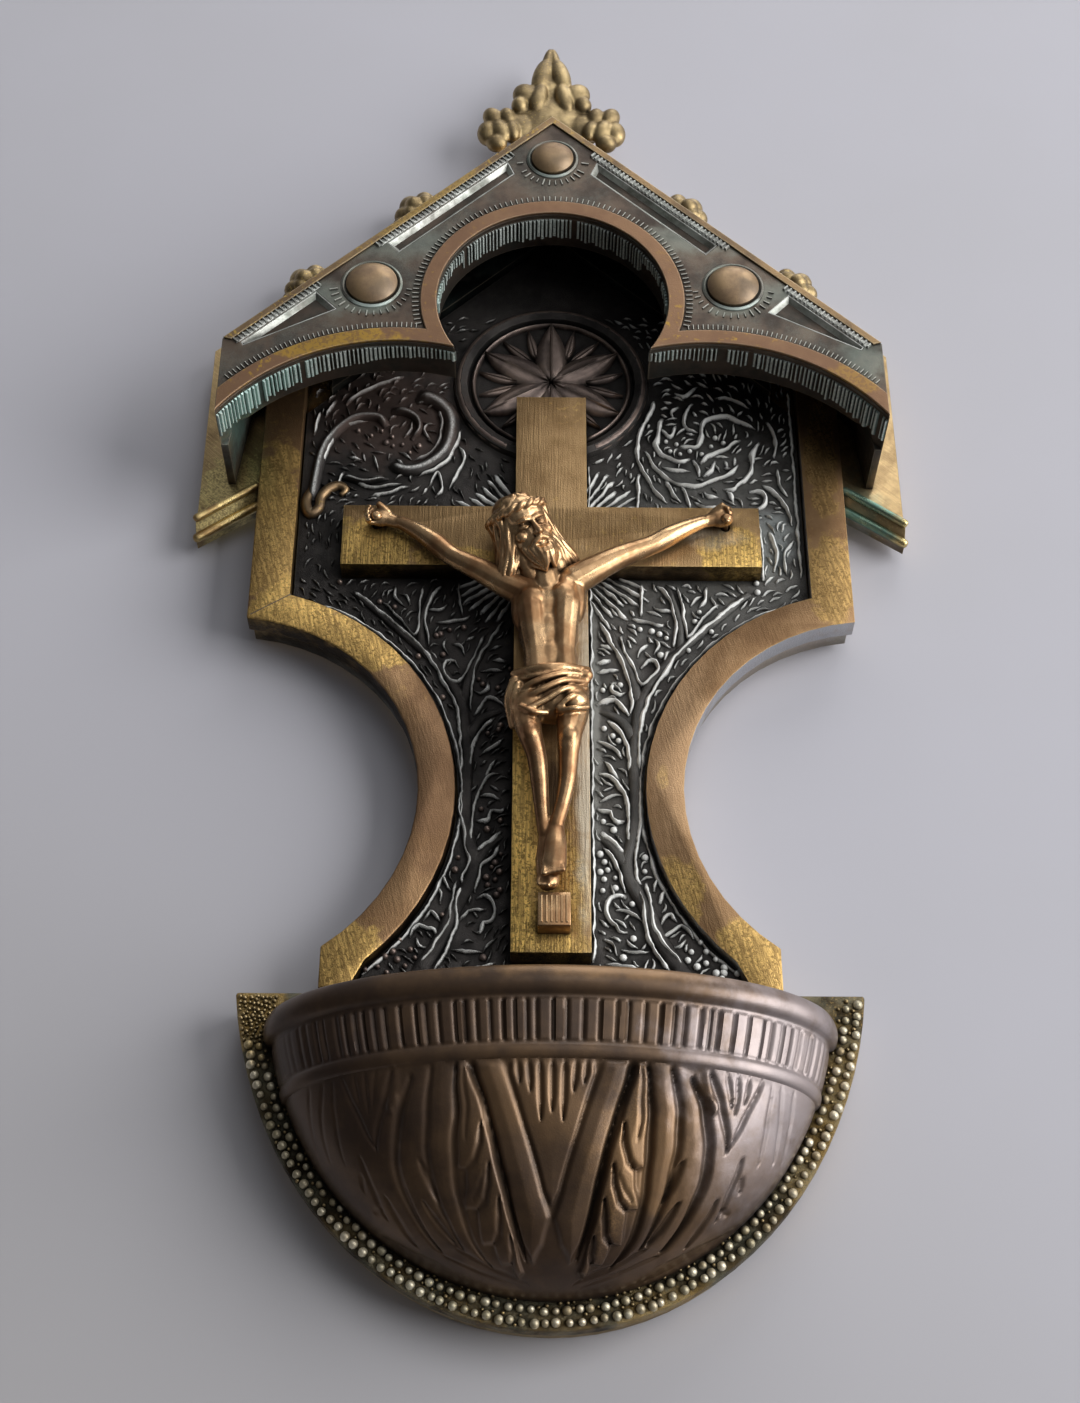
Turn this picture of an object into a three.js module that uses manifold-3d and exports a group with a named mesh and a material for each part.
// Wall-hung holy water stoup: a cast back plate with a gable carries two brass borders, a relief panel
// with a crucifix, a gabled hood and a half-dome bowl on a beaded plate.
// Millimetres, +Z up, X across, the wall at Y = 0 and the front towards -Y.
// The origin lies on the wall face, level with the top edge of the beaded plate.
import * as THREE from "three";
import { mergeVertices } from "three/addons/utils/BufferGeometryUtils.js";
import Module from "manifold-3d";

const wasm = await Module();
wasm.setup();

// Clearances and steps of round stretches
const seatGap = 0.3; // between pieces that touch on a curved or cut face
const cutOver = 1.0; // how far a cutting solid runs past the face it opens
const weldDistance = 1e-4;
const arcSteps = 20;
const pinSides = 10;
const ballSides = 8;

// Back plate with the gable
const plateThickness = 3.2;
const plateInset = 0.6; // the back plate stays this far behind the edge of what it carries
const gableApexZ = 161.3;
const roofRise = 0.955; // rise for each unit of run, on gable and hood alike
const gableHalfWidth = 53.2;
const eaveDrop = 36; // length of the upright gable side
const eaveCutRise = 6.8; // the eave's foot climbs this much towards the border
const eaveFilletHeight = 2.6;
const eaveFilletDepth = 1.4;

// Brass borders
const borderHalfWidth = 43.9;
const borderDepth = 3.3;
const borderSideWidth = 6.0;
const borderArcWidth = 5.2;
const waistCentreX = 46.8;
const waistCentreZ = 29.5;
const waistRadius = 28.5;
const footHalfWidth = 30.3;
const footInnerTopZ = 4.3;
const footBottomWidth = 3.9;

// Relief panel and rosette
const panelThickness = 1.6;
const rosetteRise = 5.2; // centre above the top of the cross
const rosetteRadius = 14.0;
const rosetteWire = 1.3;

// Hood
const hoodApexDrop = 16.3; // hood apex below the gable apex
const hoodHalfWidth = 49.0;
const hoodDepth = 16.6;
const hoodWall = 2.6;
const hoodFlangeWidth = 6.0;
const hoodFlangeThickness = 3.0;
const hoodFlangeHalfSpan = 34.0;
const archRadius = 17.4;
const cuspAngle = THREE.MathUtils.degToRad(34); // where the horseshoe ends, below its centre
const sideArcCrownX = 23.0;
const sideArcCrownDrop = 47.2; // crown of the side arcs below the hood apex
const sideArcDrop = 13.5; // from that crown to the hood's front corner
const archBandWidth = 3.0;
const soffitDepth = 6.0;

// Bosses on the hood
const sideBossX = 27.3;
const sideBossDrop = 35.9; // below the hood apex
const sideBossDiameter = 9.0;
const topBossDrop = 9.4;
const topBossDiameter = 8.0;
const bossHeight = 2.6;
const bossShank = 2.6;
const bossTailDiameter = 4.2;
const bossTailHeight = 0.9;

// Crockets and finial on the gable
const crocketRuns = [21.4, 38.6]; // across from the apex to each pair
const crocketBall = 2.1;
const crocketPeg = 1.4;
const crocketPegLength = 2.4;
const finialHeight = 16.8; // tip above the gable apex
const finialThickness = 4.8;
const finialTongueWidth = 7.0;
const finialTongueLength = 11.0; // down over the front of the gable
const finialSink = 0.9; // how far the leaf reaches back over the gable's edge
const finialLeafHalfWidth = 3.4;
const finialLeafShare = 0.56; // half length of the middle leaf, as a share of the height
const finialLobes = [
  { across: 4.4, up: 5.2, halfWidth: 2.4, halfHeight: 4.2, lean: 0.5 },
  { across: 6.2, up: 0.2, halfWidth: 3.6, halfHeight: 2.4, lean: 0.4 },
  { across: 9.8, up: -3.0, halfWidth: 2.6, halfHeight: 2.6, lean: 0 },
  { across: 8.0, up: -1.0, halfWidth: 2.2, halfHeight: 2.8, lean: 0 },
];

// Beaded plate and bowl
const beadPlateHalfWidth = 41.4;
const beadPlateHalfHeight = 50.0;
const beadPlateCentreZ = 6.5; // the plate is the part of this ellipse below Z = 0
const beadPlateThickness = 2.3;
const bowlHalfWidth = 36.4;
const bowlHeight = 40.0;
const bowlDepth = 19.0;
const bowlWall = 2.2;
const bowlBackWall = 3.2;
const bowlRimDrop = 4.2; // rim below the top edge of the beaded plate
const bowlLipHeight = 3.8;
const bowlLipProud = 1.1;
const bowlRibHeight = 5.2;
const bowlFilletHeight = 2.4;
const bowlFilletProud = 0.7;

// Cross
const crossWidth = 10.6;
const crossThickness = 3.7;
const crossFootZ = 4.6;
const crossHeight = 92.8;
const crossArmSpan = 61.4;
const crossArmDrop = 20.8; // top of the arms below the top of the cross

// Figure on the cross
const figureBack = 0.1; // between the figure's back and the cross
const handInset = 5.1; // hand nails in from the ends of the arms
const handDrop = 3.6; // hand nails below the top of the arms
const feetX = 0.4;
const feetRise = 11.6; // foot nail above the foot of the cross
const figureX = -0.4;
const figureDrawnHeight = 56.8; // nail to nail, for the figure's thicknesses as drawn
const nailHead = 1.8;
const nailHeadHeight = 0.5;
const nailShank = 0.9;
const nailBite = 2.0; // how far a nail runs into the cross
const handThickness = 2.3;
const footThickness = 3.4;
const footRestWidth = 4.3;
const footRestHeight = 4.8;
const footRestDepth = 2.8;
const footRestDrop = 4.2; // top of the rest below the foot nail
const footRestPeg = 1.6;

// Screws from behind
const screwShank = 2.0;
const screwHead = 3.8;
const screwHeadDepth = 1.2;
const screwRecess = 0.15; // head below the wall face
const screwBite = 2.2; // thread length in the piece that is held
const screwSlot = 0.5;
const footScrewShift = 0.25; // border foot screws in from the middle of the foot
const flangeScrewShare = 0.7; // along each half of the hood's flange
const bowlScrewAcross = 0.6; // side screws of the bowl, as shares of its half width and height
const bowlScrewDown = 0.35;
const bowlLowScrewDown = 0.7;

// Hanging ring behind the panel
const ringDiameter = 10.0;
const ringWire = 1.4;
const ringKnuckle = 2.6; // tube on the ring that turns on the pin
const ringKnuckleLength = 6.0;
const ringPin = 1.0;
const ringPinDrop = 29.0; // below the hood apex
const ringPinHold = 3.0; // length of pin let into the plate on each side of the pocket

// Levels of the layers, from the wall forwards
const plateFront = -plateThickness;
const panelFront = plateFront - panelThickness;
const beadPlateFront = plateFront - beadPlateThickness;
const crossFront = panelFront - crossThickness;
const hoodFront = plateFront - hoodDepth;
const hoodApexZ = gableApexZ - hoodApexDrop;
const crossTopZ = crossFootZ + crossHeight;
const armTopZ = crossTopZ - crossArmDrop;
const armFootZ = armTopZ - crossWidth;
const rosetteZ = crossTopZ + rosetteRise;
const handX = crossArmSpan / 2 - handInset;
const handZ = armTopZ - handDrop;
const feetZ = crossFootZ + feetRise;
const footRestTopZ = feetZ - footRestDrop;
const ringPinZ = hoodApexZ - ringPinDrop;
const roofAngle = Math.atan(roofRise);
const roofNormal = new THREE.Vector2(Math.sin(roofAngle), Math.cos(roofAngle));

const finish = {
  brass: { color: 0xa07a34, roughness: 0.38, metalness: 1 },
  agedBrass: { color: 0x8a6a38, roughness: 0.45, metalness: 1 },
  gunmetal: { color: 0x54504c, roughness: 0.48, metalness: 1 },
  copperBrown: { color: 0x6a4a38, roughness: 0.42, metalness: 1 },
  polishedBronze: { color: 0xb27a44, roughness: 0.3, metalness: 1 },
  steel: { color: 0x8a8a88, roughness: 0.4, metalness: 1 },
};

// Solids from geometries
function solidOf(geometry) {
  const bare = geometry.index ? geometry.toNonIndexed() : geometry.clone();
  for (const name of Object.keys(bare.attributes)) {
    if (name !== "position") bare.deleteAttribute(name);
  }
  const welded = mergeVertices(bare, weldDistance);
  const corners = welded.index.array;
  const triangles = [];
  for (let i = 0; i < corners.length; i += 3) {
    const [a, b, c] = corners.slice(i, i + 3);
    if (a !== b && b !== c && c !== a) triangles.push(a, b, c);
  }
  return new wasm.Manifold(
    new wasm.Mesh({
      numProp: 3,
      vertProperties: welded.attributes.position.array,
      triVerts: new Uint32Array(triangles),
    }),
  );
}

function geometryOf(solid) {
  const made = solid.getMesh();
  const positions = new Float32Array(made.numVert * 3);
  for (let i = 0; i < made.numVert; i++) {
    positions.set(made.vertProperties.subarray(i * made.numProp, i * made.numProp + 3), i * 3);
  }
  return new THREE.BufferGeometry()
    .setAttribute("position", new THREE.BufferAttribute(positions, 3))
    .setIndex(new THREE.BufferAttribute(made.triVerts, 1));
}

const joined = (...solids) => solids.reduce((a, b) => a.add(b));
const cut = (solid, ...tools) => tools.reduce((a, b) => a.subtract(b), solid);

// A shape drawn in X and Z, as a plate from backY forwards
function slab(shape, backY, thickness) {
  const geometry = new THREE.ExtrudeGeometry(shape, {
    depth: thickness,
    bevelEnabled: false,
    curveSegments: arcSteps,
  });
  return solidOf(geometry.rotateX(Math.PI / 2).translate(0, backY, 0));
}

const polygon = (points) => new THREE.Shape(points.map(([x, z]) => new THREE.Vector2(x, z)));
const mirrored = (points) => points.map(([x, z]) => [-x, z]).reverse();

function block(minimum, maximum) {
  const size = maximum.map((value, i) => value - minimum[i]);
  const centre = maximum.map((value, i) => (value + minimum[i]) / 2);
  return solidOf(new THREE.BoxGeometry(...size).translate(...centre));
}

// A round bar along Y
function barAlongY(x, z, diameter, backY, frontY, sides = pinSides) {
  const geometry = new THREE.CylinderGeometry(diameter / 2, diameter / 2, backY - frontY, sides);
  return solidOf(geometry.translate(x, (backY + frontY) / 2, z));
}

// A turned profile of [radius, y] pairs from the front end to the back end
function turned(profile, x, z, sides = pinSides) {
  const points = profile.map(([radius, y]) => new THREE.Vector2(radius, y));
  return solidOf(new THREE.LatheGeometry(points, sides).translate(x, 0, z));
}

function ellipsoid(centre, radii, lean = 0, sides = ballSides) {
  const geometry = new THREE.SphereGeometry(1, sides, Math.round(sides * 0.7));
  geometry.rotateX(Math.PI / 2).scale(...radii).rotateY(lean);
  return solidOf(geometry.translate(...centre));
}

// A limb that tapers from one round end to another
function limb(from, to, fromRadius, toRadius, sides = ballSides) {
  const start = new THREE.Vector3(...from);
  const along = new THREE.Vector3(...to).sub(start);
  const length = along.length();
  const profile = [];
  const capSteps = 3;
  for (let i = 0; i <= capSteps; i++) {
    const turn = (Math.PI / 2) * (i / capSteps);
    profile.push(new THREE.Vector2(fromRadius * Math.sin(turn), -fromRadius * Math.cos(turn)));
  }
  for (let i = capSteps; i >= 0; i--) {
    const turn = (Math.PI / 2) * (i / capSteps);
    profile.push(new THREE.Vector2(toRadius * Math.sin(turn), length + toRadius * Math.cos(turn)));
  }
  const upright = new THREE.Vector3(0, 1, 0);
  const turnTo = new THREE.Quaternion().setFromUnitVectors(upright, along.normalize());
  const geometry = new THREE.LatheGeometry(profile, sides).applyQuaternion(turnTo);
  return solidOf(geometry.translate(...from));
}

// Screws: each sits flush in the wall face and bites into the foremost piece
const screws = [];
function addScrew(name, x, z, seatY) {
  screws.push({ name, x, z, tipY: seatY - screwBite });
}

function screwSolid({ x, z, tipY }) {
  const body = turned(
    [
      [0, tipY],
      [screwShank / 2, tipY],
      [screwShank / 2, -screwHeadDepth - screwRecess],
      [screwHead / 2, -screwRecess],
      [0, -screwRecess],
    ],
    x,
    z,
  );
  const slot = block(
    [x - screwHead, -screwRecess - screwSlot, z - screwSlot / 2],
    [x + screwHead, cutOver, z + screwSlot / 2],
  );
  return cut(body, slot);
}

function screwHole({ x, z, tipY }) {
  const reach = screwHead / 2 + seatGap;
  return turned(
    [
      [0, tipY - seatGap],
      [screwShank / 2 + seatGap, tipY - seatGap],
      [screwShank / 2 + seatGap, -screwHeadDepth - screwRecess],
      [reach, -screwRecess],
      [reach, cutOver],
      [0, cutOver],
    ],
    x,
    z,
  );
}

// Places that more than one piece uses
const roofline = (apexZ, x, below = 0) => apexZ - below / Math.cos(roofAngle) - roofRise * Math.abs(x);
const borderArcOuter = waistRadius;
const borderArcInner = waistRadius + borderArcWidth;
const borderSideInner = borderHalfWidth - borderSideWidth;
const arcZAt = (radius, x) => Math.sqrt(radius ** 2 - (waistCentreX - x) ** 2);
const arcXAt = (radius, z) => waistCentreX - Math.sqrt(radius ** 2 - (waistCentreZ - z) ** 2);

// Points of a waist arc on the right-hand side, from its upper end to its lower end
function waistArc(radius, upperZ, lowerZ) {
  const upper = Math.asin((upperZ - waistCentreZ) / radius);
  const lower = Math.asin((lowerZ - waistCentreZ) / radius);
  return Array.from({ length: arcSteps + 1 }, (_, i) => {
    const angle = upper + ((lower - upper) * i) / arcSteps;
    return [waistCentreX - radius * Math.cos(angle), waistCentreZ + radius * Math.sin(angle)];
  });
}

// Points of the beaded plate's lower edge, from right to left, drawn in by an inset
function lobe(inset) {
  const halfWidth = beadPlateHalfWidth - inset;
  const halfHeight = beadPlateHalfHeight - inset;
  const start = Math.asin(-beadPlateCentreZ / halfHeight);
  const end = -Math.PI - start;
  const steps = 2 * arcSteps;
  return Array.from({ length: steps + 1 }, (_, i) => {
    const angle = start + ((end - start) * i) / steps;
    return [halfWidth * Math.cos(angle), beadPlateCentreZ + halfHeight * Math.sin(angle)];
  });
}

// Back plate
const eaveTopZ = roofline(gableApexZ, gableHalfWidth);
const eaveFootZ = eaveTopZ - eaveDrop;
const eaveInnerX = borderHalfWidth - plateInset;
const eaveInnerZ = eaveFootZ + eaveCutRise;

function backPlateOutline() {
  const arcRadius = borderArcOuter + plateInset;
  const sideX = borderHalfWidth - plateInset;
  const footX = footHalfWidth - plateInset;
  const rightSide = [
    [gableHalfWidth, eaveTopZ],
    [gableHalfWidth, eaveFootZ],
    [eaveInnerX, eaveInnerZ],
    ...waistArc(arcRadius, waistCentreZ + arcZAt(arcRadius, sideX), waistCentreZ - arcZAt(arcRadius, footX)),
    [footX, 0],
  ];
  return polygon([[0, gableApexZ], ...rightSide, ...lobe(plateInset), ...mirrored(rightSide)]);
}

// The moulded fillet along the foot of each eave
function eaveFillet(side) {
  const innerX = borderHalfWidth + seatGap;
  const footAt = (x) => eaveFootZ + (eaveCutRise * (gableHalfWidth - x)) / (gableHalfWidth - eaveInnerX);
  const points = [
    [gableHalfWidth, eaveFootZ],
    [gableHalfWidth, eaveFootZ + eaveFilletHeight],
    [innerX, footAt(innerX) + eaveFilletHeight],
    [innerX, footAt(innerX)],
  ].map(([x, z]) => [side * x, z]);
  return slab(polygon(points), plateFront, eaveFilletDepth);
}

const ringPinY = -plateThickness / 2;
const ringCentreDrop = (ringKnuckle + ringDiameter) / 2; // from the pin's axis to the ring's centre
const ringOuterRadius = (ringDiameter + ringWire) / 2;
const pocketHalfHeight = ringCentreDrop + ringOuterRadius + 2 * seatGap;
const pocketHalfWidth = ringOuterRadius + 2 * seatGap;

function ringPocket() {
  const pocket = block(
    [-pocketHalfWidth, plateFront - cutOver, ringPinZ - pocketHalfHeight],
    [pocketHalfWidth, cutOver, ringPinZ + pocketHalfHeight],
  );
  const grooveReach = pocketHalfWidth + ringPinHold + seatGap;
  const groove = block(
    [-grooveReach, ringPinY - ringPin / 2 - seatGap, ringPinZ - ringPin / 2 - seatGap],
    [grooveReach, cutOver, ringPinZ + ringPin / 2 + seatGap],
  );
  return pocket.add(groove);
}

// Borders: outline of the right-hand one, mirrored for the left
function borderOutline(side) {
  const topAt = (x) => roofline(hoodApexZ, x, hoodWall) - seatGap;
  const points = [
    [borderHalfWidth, topAt(borderHalfWidth)],
    ...waistArc(
      borderArcOuter,
      waistCentreZ + arcZAt(borderArcOuter, borderHalfWidth),
      waistCentreZ - arcZAt(borderArcOuter, footHalfWidth),
    ),
    [footHalfWidth, seatGap],
    [footHalfWidth - footBottomWidth, seatGap],
    ...waistArc(
      borderArcInner,
      waistCentreZ + arcZAt(borderArcInner, borderSideInner),
      footInnerTopZ,
    ).reverse(),
    [borderSideInner, topAt(borderSideInner)],
  ];
  return polygon(points.map(([x, z]) => [side * x, z]));
}

// Relief panel: fills the space between the borders up to the hood's flange
const panelSideX = borderSideInner - seatGap;
const flangeLine = (x) => roofline(hoodApexZ, x, hoodWall + hoodFlangeWidth);

function panelOutline() {
  const arcRadius = borderArcInner + seatGap;
  const rightSide = [
    [panelSideX, flangeLine(panelSideX) - seatGap],
    ...waistArc(arcRadius, waistCentreZ + arcZAt(arcRadius, panelSideX), footInnerTopZ),
    [footHalfWidth - footBottomWidth - seatGap, seatGap],
  ];
  return polygon([[0, flangeLine(0) - seatGap], ...rightSide, ...mirrored(rightSide)]);
}

function rosetteRing() {
  const ring = new THREE.TorusGeometry(rosetteRadius, rosetteWire, 8, 36);
  return solidOf(ring.rotateX(Math.PI / 2).translate(0, panelFront, rosetteZ));
}

// Hood: a gabled box open below and behind, with a horseshoe arch and two side arcs in its front
const sideArcCrownZ = hoodApexZ - sideArcCrownDrop;
const hoodFootZ = sideArcCrownZ - sideArcDrop;
const sideArcRun = hoodHalfWidth - sideArcCrownX;
const sideArcRadius = (sideArcRun ** 2 + sideArcDrop ** 2) / (2 * sideArcDrop);
const cuspX = archRadius * Math.cos(cuspAngle);
const sideArcZ = (x) =>
  sideArcCrownZ - sideArcRadius + Math.sqrt(sideArcRadius ** 2 - (x - sideArcCrownX) ** 2);
const archCentreZ = sideArcZ(cuspX) + archRadius * Math.sin(cuspAngle);

function hoodProfile(inset, roofInset) {
  const x = hoodHalfWidth - inset;
  const foot = hoodFootZ - (inset > 0 ? cutOver : 0);
  return [
    [0, roofline(hoodApexZ, 0, roofInset)],
    [-x, roofline(hoodApexZ, x, roofInset)],
    [-x, foot],
    [x, foot],
    [x, roofline(hoodApexZ, x, roofInset)],
  ];
}

// The arched opening, grown outwards by a band
function archOpening(band) {
  const steps = 3 * arcSteps;
  const endAngle = Math.PI + 2 * cuspAngle;
  const horseshoe = Array.from({ length: steps + 1 }, (_, i) => {
    const angle = -cuspAngle + (endAngle * i) / steps;
    const radius = archRadius + band;
    return [radius * Math.cos(angle), archCentreZ + radius * Math.sin(angle)];
  });
  const start = Math.acos(sideArcRun / sideArcRadius);
  const end = Math.PI / 2 + Math.asin((sideArcCrownX - cuspX) / sideArcRadius);
  const sideArc = Array.from({ length: arcSteps + 1 }, (_, i) => {
    const angle = start + ((end - start) * i) / arcSteps;
    const radius = sideArcRadius + band;
    return [
      sideArcCrownX + radius * Math.cos(angle),
      sideArcCrownZ - sideArcRadius + radius * Math.sin(angle),
    ];
  });
  const below = hoodFootZ - 2 * cutOver;
  const skirt = [
    [hoodHalfWidth + archBandWidth, below],
    [hoodHalfWidth + archBandWidth, hoodFootZ],
    ...sideArc,
    [0, archCentreZ],
  ];
  return { horseshoe: polygon(horseshoe), skirt: polygon([...skirt, ...mirrored(skirt)]) };
}

function hoodArch(band, backY, thickness) {
  const { horseshoe, skirt } = archOpening(band);
  return slab(horseshoe, backY, thickness).add(slab(skirt, backY, thickness));
}

const bossSpots = [
  { name: "boss_left", x: -sideBossX, z: hoodApexZ - sideBossDrop, diameter: sideBossDiameter },
  { name: "boss_right", x: sideBossX, z: hoodApexZ - sideBossDrop, diameter: sideBossDiameter },
  { name: "boss_top", x: 0, z: hoodApexZ - topBossDrop, diameter: topBossDiameter },
];

function hoodSolid() {
  const flangeFront = plateFront - hoodFlangeThickness;
  const outer = slab(polygon(hoodProfile(0, 0)), plateFront, hoodDepth);
  const hollowProfile = polygon(hoodProfile(hoodWall, hoodWall));
  const hollow = slab(hollowProfile, flangeFront, hoodDepth - hoodFlangeThickness - hoodWall);
  const backHollow = slab(hollowProfile, plateFront + cutOver, hoodFlangeThickness + 2 * cutOver);
  const flangeReach = polygon([
    [0, hoodApexZ],
    [-hoodFlangeHalfSpan, roofline(hoodApexZ, hoodFlangeHalfSpan)],
    [-hoodFlangeHalfSpan, flangeLine(hoodFlangeHalfSpan)],
    [0, flangeLine(0)],
    [hoodFlangeHalfSpan, flangeLine(hoodFlangeHalfSpan)],
    [hoodFlangeHalfSpan, roofline(hoodApexZ, hoodFlangeHalfSpan)],
  ]);
  const flange = slab(flangeReach, plateFront, hoodFlangeThickness).intersect(outer);
  const lipBack = hoodFront + soffitDepth;
  const lip = hoodArch(archBandWidth, lipBack, soffitDepth).intersect(outer);
  const shell = joined(cut(outer, hollow, backHollow), flange, lip);
  const opening = hoodArch(0, lipBack + cutOver, soffitDepth + 2 * cutOver);
  const bossHoles = bossSpots.map(({ x, z }) =>
    barAlongY(x, z, bossShank + 2 * seatGap, hoodFront + hoodWall + cutOver, hoodFront - cutOver),
  );
  return cut(shell, opening, ...bossHoles);
}

// Domed bosses riveted through the hood's front
function bossSolid({ x, z, diameter }) {
  const domeSteps = 5;
  const profile = [];
  for (let i = 0; i <= domeSteps; i++) {
    const turn = (Math.PI / 2) * (i / domeSteps);
    profile.push([(diameter / 2) * Math.sin(turn), hoodFront - bossHeight * Math.cos(turn)]);
  }
  const tailY = hoodFront + hoodWall;
  profile.push(
    [bossShank / 2, hoodFront],
    [bossShank / 2, tailY],
    [bossTailDiameter / 2, tailY],
    [bossTailDiameter / 4, tailY + bossTailHeight],
    [0, tailY + bossTailHeight],
  );
  return turned(profile, x, z, 20);
}

// Crockets: a cluster of balls on the slope, with a peg let into the edge of the gable
function crocketFrame(run, side) {
  const seat = new THREE.Vector2(side * run, roofline(gableApexZ, run));
  const normal = new THREE.Vector2(side * roofNormal.x, roofNormal.y);
  const along = new THREE.Vector2(normal.y, -normal.x);
  return (up, across) => [
    seat.x + normal.x * up + along.x * across,
    seat.y + normal.y * up + along.y * across,
  ];
}

function crocketPegBar(run, side, diameter, length) {
  const place = crocketFrame(run, side);
  const [tipX, tipZ] = place(-length, 0);
  const [topX, topZ] = place(crocketBall, 0);
  const middleY = -plateThickness / 2;
  return limb([tipX, middleY, tipZ], [topX, middleY, topZ], diameter / 2, diameter / 2);
}

function crocketSolid(run, side) {
  const place = crocketFrame(run, side);
  const ball = (up, across, radius, y) => {
    const [x, z] = place(up, across);
    return ellipsoid([x, y, z], [radius, radius, radius]);
  };
  const middleY = -plateThickness / 2;
  const cluster = joined(
    ball(1.9 * crocketBall, 0, crocketBall, middleY),
    ball(0.95 * crocketBall, crocketBall, 0.9 * crocketBall, middleY - 0.3 * crocketBall),
    ball(0.95 * crocketBall, -crocketBall, 0.9 * crocketBall, middleY - 0.3 * crocketBall),
    ball(1.2 * crocketBall, 0, 0.8 * crocketBall, middleY - crocketBall),
  );
  const gable = slab(backPlateOutline(), seatGap, plateThickness + 2 * seatGap);
  const [shiftX, shiftZ] = [side * roofNormal.x * seatGap, roofNormal.y * seatGap];
  const trimmed = cut(cluster, gable.translate([shiftX, 0, shiftZ]), wallSide());
  return joined(trimmed, crocketPegBar(run, side, crocketPeg, crocketPegLength));
}

// Everything behind the wall plane, for trimming rounded pieces flush
function wallSide() {
  const reach = 2 * gableApexZ;
  return block([-reach, -seatGap, -reach], [reach, reach, reach]);
}

// Finial: a pointed leaf with paired lobes, held by a tongue on the front of the gable
const finialTongueFront = plateFront - finialThickness / 2;
const finialScrewZ = gableApexZ - finialTongueLength / 2;

function finialSolid() {
  const depth = finialThickness / 2;
  const y = plateFront - depth + finialSink;
  const tipZ = gableApexZ + finialHeight;
  const leafHalf = finialHeight * finialLeafShare;
  const lobes = [ellipsoid([0, y, tipZ - leafHalf], [finialLeafHalfWidth, depth, leafHalf])];
  for (const { across, up, halfWidth, halfHeight, lean } of finialLobes) {
    for (const side of [-1, 1]) {
      const centre = [side * across, y, gableApexZ + up];
      lobes.push(ellipsoid(centre, [halfWidth, 0.9 * depth, halfHeight], side * lean));
    }
  }
  const tongue = block(
    [-finialTongueWidth / 2, finialTongueFront, gableApexZ - finialTongueLength],
    [finialTongueWidth / 2, plateFront, gableApexZ + finialHeight / 4],
  );
  const gable = slab(backPlateOutline(), cutOver, plateThickness + cutOver).translate([0, 0, seatGap]);
  return cut(joined(tongue, ...lobes), gable, wallSide());
}

// Bowl: half of a flattened dome with a rolled lip, a ribbed band and a fillet
const bowlRimZ = -bowlRimDrop;

function bowlOuterProfile() {
  const body = (z) => bowlHalfWidth * Math.sqrt(Math.max(0, 1 - (z / bowlHeight) ** 2));
  const lipFoot = bowlRimZ - bowlLipHeight;
  const ribFoot = lipFoot - bowlRibHeight;
  const filletFoot = ribFoot - bowlFilletHeight;
  const points = [];
  const bodySteps = 12;
  for (let i = 0; i <= bodySteps; i++) {
    const angle = (Math.PI / 2) * (i / bodySteps);
    const z = -bowlHeight + (filletFoot + bowlHeight) * (1 - Math.cos(angle));
    points.push([body(z), z]);
  }
  points[0][0] = 0;
  const filletMiddle = (ribFoot + filletFoot) / 2;
  points.push(
    [body(filletMiddle) + bowlFilletProud, filletMiddle],
    [body(ribFoot), ribFoot],
    [body(lipFoot), lipFoot],
  );
  const lipSteps = 4;
  for (let i = 1; i < lipSteps; i++) {
    const angle = Math.PI * (i / lipSteps);
    const z = lipFoot + bowlLipHeight * 0.5 * (1 - Math.cos(angle));
    points.push([body(z) + bowlLipProud * Math.sin(angle), z]);
  }
  points.push([body(bowlRimZ), bowlRimZ], [0, bowlRimZ]);
  return points;
}

// A turned dome about Z, flattened along Y and set against the beaded plate
function halfDome(profile, depthShare) {
  const points = profile.map(([radius, z]) => new THREE.Vector2(radius, z));
  const geometry = new THREE.LatheGeometry(points, 48).rotateX(Math.PI / 2);
  return solidOf(geometry.scale(1, depthShare, 1).translate(0, beadPlateFront, 0));
}

function bowlSolid() {
  const outer = halfDome(bowlOuterProfile(), bowlDepth / bowlHalfWidth);
  const innerHalf = bowlHalfWidth - bowlWall;
  const innerHeight = bowlHeight - bowlWall;
  const innerSteps = 10;
  const innerProfile = Array.from({ length: innerSteps + 1 }, (_, i) => {
    const angle = (Math.PI / 2) * (i / innerSteps);
    return [innerHalf * Math.sin(angle), -innerHeight * Math.cos(angle)];
  });
  innerProfile.push([innerHalf, cutOver], [0, cutOver]);
  const inner = halfDome(innerProfile, (bowlDepth - bowlWall) / innerHalf);
  const reach = 2 * bowlHeight;
  const front = block([-reach, beadPlateFront - reach, -reach], [reach, beadPlateFront, reach]);
  const backWall = block([-reach, beadPlateFront - bowlBackWall, -reach], [reach, beadPlateFront, reach]);
  return joined(cut(outer, inner).intersect(front), outer.intersect(backWall));
}

// Cross with its blind holes for nails and the foot rest
function crossOutline() {
  const half = crossWidth / 2;
  const arm = crossArmSpan / 2;
  const rightSide = [
    [half, crossTopZ],
    [half, armTopZ],
    [arm, armTopZ],
    [arm, armFootZ],
    [half, armFootZ],
    [half, crossFootZ],
  ];
  return polygon([...rightSide, ...mirrored(rightSide)]);
}

const nailSpots = [
  { name: "nail_left_hand", x: -handX, z: handZ, seatY: crossFront - figureBack - handThickness },
  { name: "nail_right_hand", x: handX, z: handZ, seatY: crossFront - figureBack - handThickness },
  { name: "nail_feet", x: feetX, z: feetZ, seatY: crossFront - figureBack - footThickness },
];

function nailSolid({ x, z, seatY }) {
  return turned(
    [
      [0, seatY - nailHeadHeight],
      [nailHead / 4, seatY - nailHeadHeight],
      [nailHead / 2, seatY],
      [nailShank / 2, seatY],
      [nailShank / 2, crossFront + nailBite],
      [0, crossFront + nailBite],
    ],
    x,
    z,
  );
}

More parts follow.
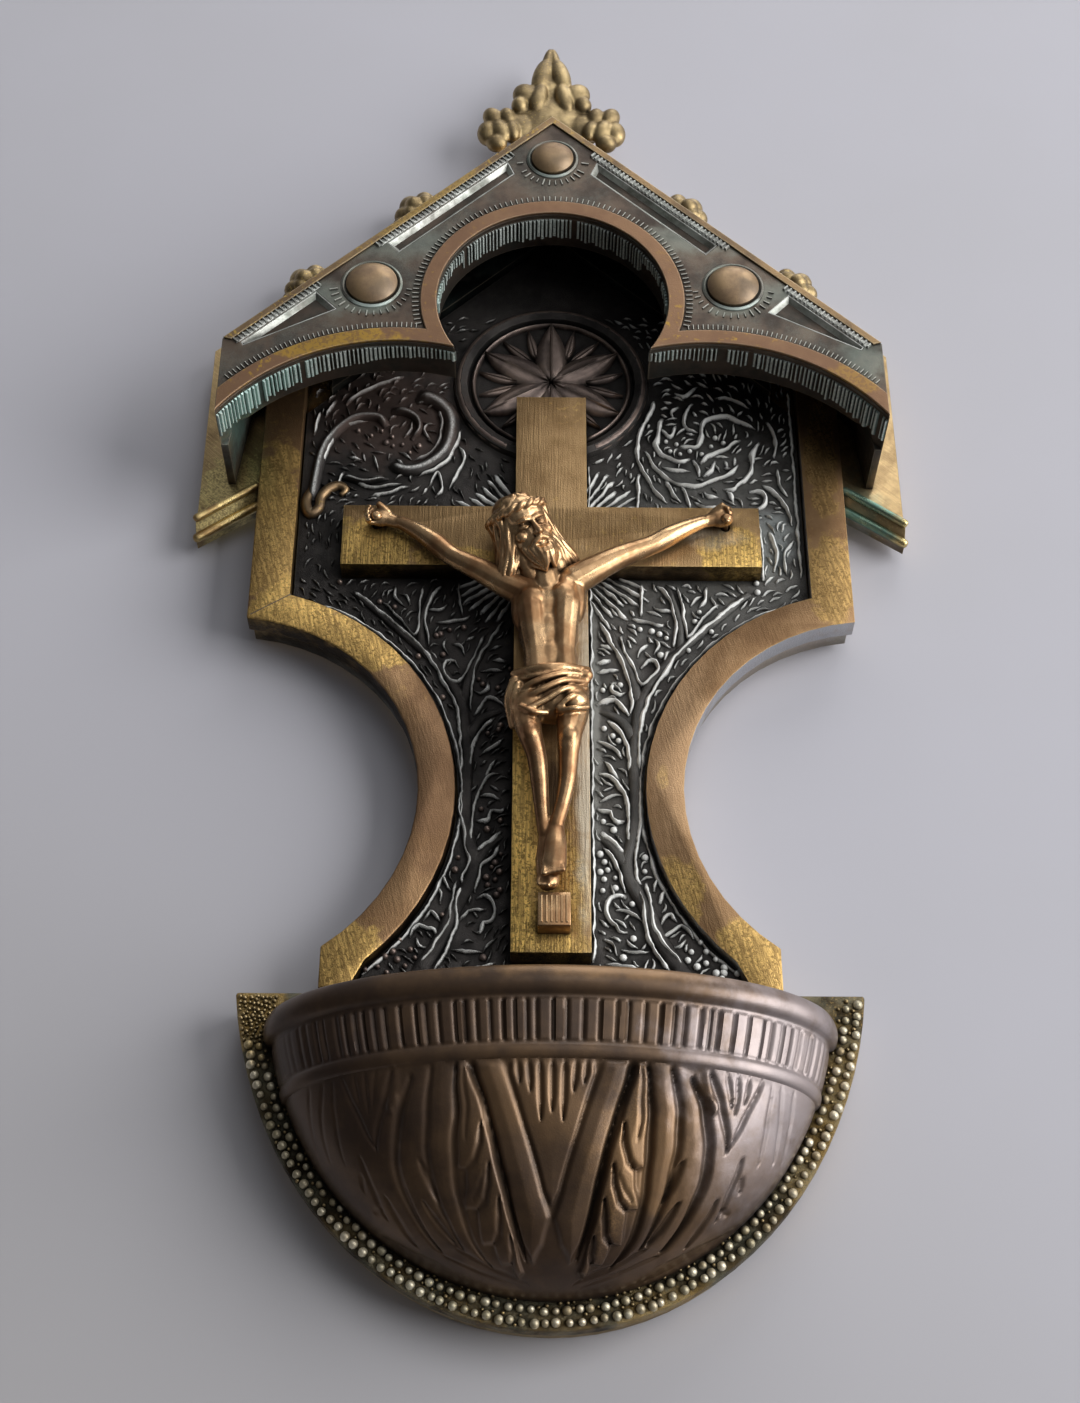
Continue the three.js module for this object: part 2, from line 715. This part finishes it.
// The shank's hole, with a round seat for the head
function nailHole({ x, z, seatY }) {
  const tipY = crossFront + nailBite + seatGap;
  const shank = barAlongY(x, z, nailShank + 2 * seatGap, tipY, seatY - cutOver);
  return shank.add(barAlongY(x, z, nailHead + 2 * seatGap, seatY, seatY - 4 * cutOver));
}

const footRestPegZ = footRestTopZ - footRestHeight / 2;

function footRestSolid() {
  const rest = block(
    [feetX - footRestWidth / 2, crossFront - footRestDepth, footRestTopZ - footRestHeight],
    [feetX + footRestWidth / 2, crossFront, footRestTopZ],
  );
  return rest.add(barAlongY(feetX, footRestPegZ, footRestPeg, crossFront + nailBite, crossFront - nailBite));
}

function footRestHole() {
  const backY = crossFront + nailBite + seatGap;
  return barAlongY(feetX, footRestPegZ, footRestPeg + 2 * seatGap, backY, crossFront - cutOver);
}

// Figure: trunk, head and limbs joined into one casting, flat where it lies on the cross
function corpusSolid() {
  const back = crossFront - figureBack;
  const height = handZ - feetZ;
  const size = height / figureDrawnHeight;
  const at = (x, forward, share) => [figureX + size * x, back - size * forward, feetZ + share * height];
  const swell = (centre, radii, lean) => ellipsoid(centre, radii.map((radius) => size * radius), lean);
  const stretch = (from, to, fromRadius, toRadius) => limb(from, to, size * fromRadius, size * toRadius);
  const handFlat = handThickness / 2;
  const leftKnee = at(-2.4, 6.0, 0.287);
  const rightKnee = at(2.6, 5.6, 0.296);
  const soleY = back - footThickness / 2;
  const pieces = [
    swell(at(-0.6, 3.2, 0.746), [6.2, 3.5, 7.0]),
    swell(at(0, 3.0, 0.606), [4.7, 3.0, 6.4]),
    swell(at(0.3, 3.3, 0.475), [5.3, 3.7, 5.2]),
    stretch(at(-1.2, 3.4, 0.815), at(-2.4, 4.4, 0.886), 2.5, 2.3),
    swell(at(-3.0, 5.0, 0.958), [4.0, 4.3, 5.6], -0.2),
    stretch(at(0.4, 2.9, 0.428), at(0.3, 5.2, 0.269), 3.2, 2.4),
    stretch(at(-2.4, 3.6, 0.445), leftKnee, 2.8, 2.2),
    stretch(at(2.8, 3.6, 0.445), rightKnee, 2.8, 2.2),
    stretch(leftKnee, at(0.2, 3.4, 0.058), 2.1, 1.4),
    stretch(rightKnee, at(1.2, 2.6, 0.049), 2.1, 1.4),
    stretch(at(0.6, 2.4, 0.049), [feetX, soleY, footRestTopZ + footThickness / 2], 1.7, 1.5),
    stretch(at(1.3, 1.8, 0.049), [feetX, soleY, feetZ], 1.7, 1.7),
  ];
  for (const side of [-1, 1]) {
    const elbow = [side * handX * 0.61, back - size * 2.0, feetZ + 0.901 * height];
    const wrist = [side * handX * 0.875, back - size * 1.4, feetZ + 0.975 * height];
    const palm = [side * handX, back - handFlat, handZ];
    pieces.push(
      stretch(at(side * 5.8, 2.8, 0.817), elbow, 2.5, 1.7),
      stretch(elbow, wrist, 1.8, 1.2),
      stretch(wrist, palm, 1.2, 1.7),
      swell(palm, [3.2, handFlat, 2.0]),
    );
  }
  const reach = 2 * crossHeight;
  const front = block([-reach, back - reach, -reach], [reach, back, reach]);
  const rest = block(
    [-reach, crossFront - footRestDepth - seatGap, -reach],
    [reach, back + cutOver, footRestTopZ + seatGap],
  );
  return cut(joined(...pieces).intersect(front), rest, ...nailSpots.map(nailHole));
}

// Hanging ring and its pin
function barOnRingAxis(diameter, length) {
  const bar = new THREE.CylinderGeometry(diameter / 2, diameter / 2, length, pinSides);
  return solidOf(bar.rotateZ(Math.PI / 2).translate(0, ringPinY, ringPinZ));
}

function ringSolid() {
  const wire = new THREE.TorusGeometry(ringDiameter / 2, ringWire / 2, 8, 28).rotateX(Math.PI / 2);
  const ring = solidOf(wire.translate(0, ringPinY, ringPinZ - ringCentreDrop));
  const bore = barOnRingAxis(ringPin + 2 * seatGap, ringKnuckleLength + 2 * cutOver);
  return cut(ring.add(barOnRingAxis(ringKnuckle, ringKnuckleLength)), bore);
}

const ringPinSolid = () => barOnRingAxis(ringPin, 2 * (pocketHalfWidth + ringPinHold));

// Where the screws go
const arcMiddle = (borderArcOuter + plateInset + borderArcInner) / 2;
const borderArcScrewX = arcXAt(arcMiddle, waistCentreZ);
const borderSideScrewX = borderHalfWidth - borderSideWidth / 2;
const borderSideScrewZ = (eaveFootZ + waistCentreZ + arcZAt(borderArcOuter, borderHalfWidth)) / 2;
const footScrewX = footHalfWidth - plateInset - footBottomWidth / 2 - footScrewShift;
const flangeScrewRun = hoodFlangeHalfSpan * flangeScrewShare;
const flangeScrewDepth = hoodWall + hoodFlangeWidth / 2;
for (const [label, side] of [["left", -1], ["right", 1]]) {
  addScrew(`border_screw_${label}_side`, side * borderSideScrewX, borderSideScrewZ, plateFront);
  addScrew(`border_screw_${label}_waist`, side * borderArcScrewX, waistCentreZ, plateFront);
  addScrew(`border_screw_${label}_foot`, side * footScrewX, footInnerTopZ, plateFront);
  const flangeX = flangeScrewRun - roofNormal.x * flangeScrewDepth;
  const flangeZ = roofline(hoodApexZ, flangeScrewRun) - roofNormal.y * flangeScrewDepth;
  addScrew(`hood_screw_${label}`, side * flangeX, flangeZ, plateFront);
  const bowlScrewX = side * bowlHalfWidth * bowlScrewAcross;
  addScrew(`bowl_screw_${label}`, bowlScrewX, -bowlHeight * bowlScrewDown, beadPlateFront);
}
addScrew("bowl_screw_bottom", 0, -bowlHeight * bowlLowScrewDown, beadPlateFront);
addScrew("cross_screw_upper", 0, armTopZ + crossArmDrop / 2, panelFront);
addScrew("cross_screw_lower", 0, armFootZ / 2, panelFront);
addScrew("finial_screw", 0, finialScrewZ, plateFront);

// Assembly
const stoup = new THREE.Group();
const screwHoles = screws.map(screwHole);

function add(name, solid, look) {
  const mesh = new THREE.Mesh(geometryOf(solid), new THREE.MeshStandardMaterial(finish[look]));
  mesh.name = name;
  stoup.add(mesh);
}

const addDrilled = (name, solid, look) => add(name, cut(solid, ...screwHoles), look);

const crocketSpots = [];
for (const [label, side] of [["left", -1], ["right", 1]]) {
  crocketSpots.push(
    { name: `crocket_${label}_upper`, run: crocketRuns[0], side },
    { name: `crocket_${label}_lower`, run: crocketRuns[1], side },
  );
}

const plateBlank = joined(slab(backPlateOutline(), 0, plateThickness), eaveFillet(-1), eaveFillet(1));
const pegHoles = crocketSpots.map(({ run, side }) =>
  crocketPegBar(run, side, crocketPeg + 2 * seatGap, crocketPegLength + seatGap),
);
addDrilled("back_plate", cut(plateBlank, ringPocket(), ...pegHoles), "brass");
addDrilled("border_left", slab(borderOutline(-1), plateFront, borderDepth), "agedBrass");
addDrilled("border_right", slab(borderOutline(1), plateFront, borderDepth), "agedBrass");
const panelBlank = slab(panelOutline(), plateFront, panelThickness);
const crossSeat = slab(crossOutline(), panelFront, crossThickness);
const ringBesideCross = cut(rosetteRing(), slab(crossOutline(), 0, hoodDepth));
addDrilled("relief_panel", joined(panelBlank, ringBesideCross), "gunmetal");
addDrilled("cross", cut(crossSeat, ...nailSpots.map(nailHole), footRestHole()), "brass");
add("corpus", corpusSolid(), "polishedBronze");
add("foot_rest", footRestSolid(), "polishedBronze");
for (const spot of nailSpots) add(spot.name, nailSolid(spot), "polishedBronze");
addDrilled("canopy_hood", hoodSolid(), "gunmetal");
for (const spot of bossSpots) add(spot.name, bossSolid(spot), "copperBrown");
for (const { name, run, side } of crocketSpots) add(name, crocketSolid(run, side), "brass");
addDrilled("finial", finialSolid(), "brass");
addDrilled("bead_plate", slab(polygon(lobe(0)), plateFront, beadPlateThickness), "brass");
addDrilled("bowl", bowlSolid(), "copperBrown");
for (const spot of screws) add(spot.name, screwSolid(spot), "steel");
add("ring_pin", ringPinSolid(), "steel");
add("hanging_ring", ringSolid(), "brass");

export default stoup;
